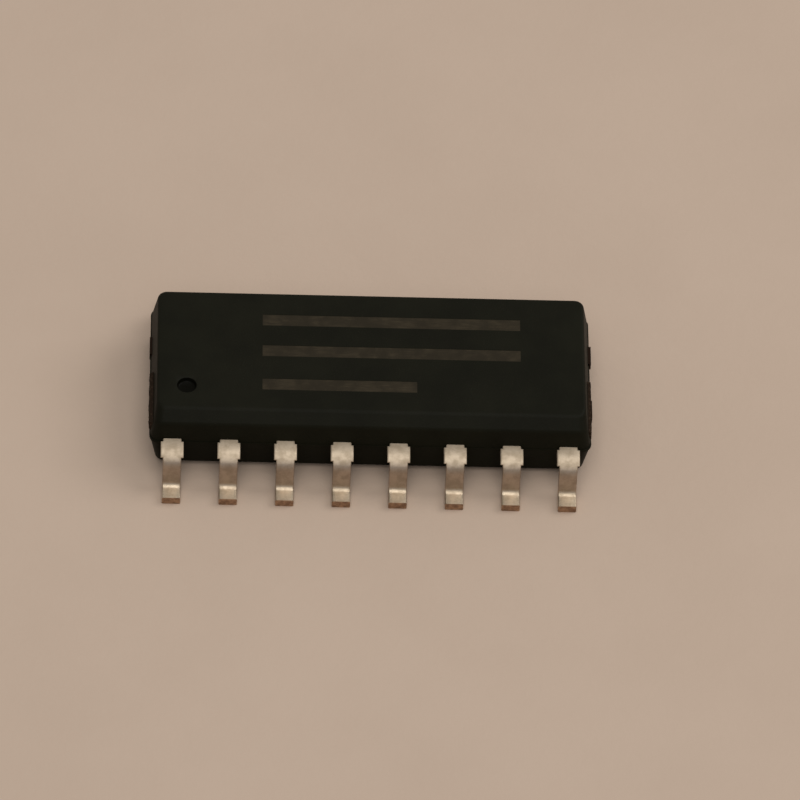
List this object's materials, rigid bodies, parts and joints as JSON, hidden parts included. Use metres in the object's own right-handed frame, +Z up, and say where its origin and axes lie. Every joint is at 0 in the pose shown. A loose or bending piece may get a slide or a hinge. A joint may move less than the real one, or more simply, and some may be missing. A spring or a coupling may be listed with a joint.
{
  "type": "current controller chip",
  "caption": "Small-outline surface-mount controller chip: a black moulded body, with a dimple and a bevel on lead 1's side, between two rows of tin-plated gull-wing leads.",
  "frame": {"origin": "on the seating plane of the feet, under the middle of the body", "axes": "+X along the body, away from lead 1's end; +Y from lead 1's row to the other row; +Z up, out of the top face"},
  "size_m": [0.01, 0.006, 0.0017],
  "materials": {
    "mould_compound": "matte black moulding compound with a fine grain",
    "tin_plate": "satin tin plate on copper",
    "copper_strip": "bare copper alloy strip",
    "die_adhesive": "silver-filled epoxy",
    "silicon": "polished silicon",
    "gold_wire": "bright gold"
  },
  "bodies": {
    "root": {"moulded_body": "mould_compound", "die_paddle": "copper_strip", "die_adhesive": "die_adhesive", "silicon_die": "silicon", "lead_01": "tin_plate", "lead_02": "tin_plate", "lead_03": "tin_plate", "lead_04": "tin_plate", "lead_05": "tin_plate", "lead_06": "tin_plate", "lead_07": "tin_plate", "lead_08": "tin_plate", "lead_09": "tin_plate", "lead_10": "tin_plate", "lead_11": "tin_plate", "lead_12": "tin_plate", "lead_13": "tin_plate", "lead_14": "tin_plate", "lead_15": "tin_plate", "lead_16": "tin_plate", "bond_wire_01": "gold_wire", "bond_wire_02": "gold_wire", "bond_wire_03": "gold_wire", "bond_wire_04": "gold_wire", "bond_wire_05": "gold_wire", "bond_wire_06": "gold_wire", "bond_wire_07": "gold_wire", "bond_wire_08": "gold_wire", "bond_wire_09": "gold_wire", "bond_wire_10": "gold_wire", "bond_wire_11": "gold_wire", "bond_wire_12": "gold_wire", "bond_wire_13": "gold_wire", "bond_wire_14": "gold_wire", "bond_wire_15": "gold_wire", "bond_wire_16": "gold_wire"}
  },
  "joints": []
}
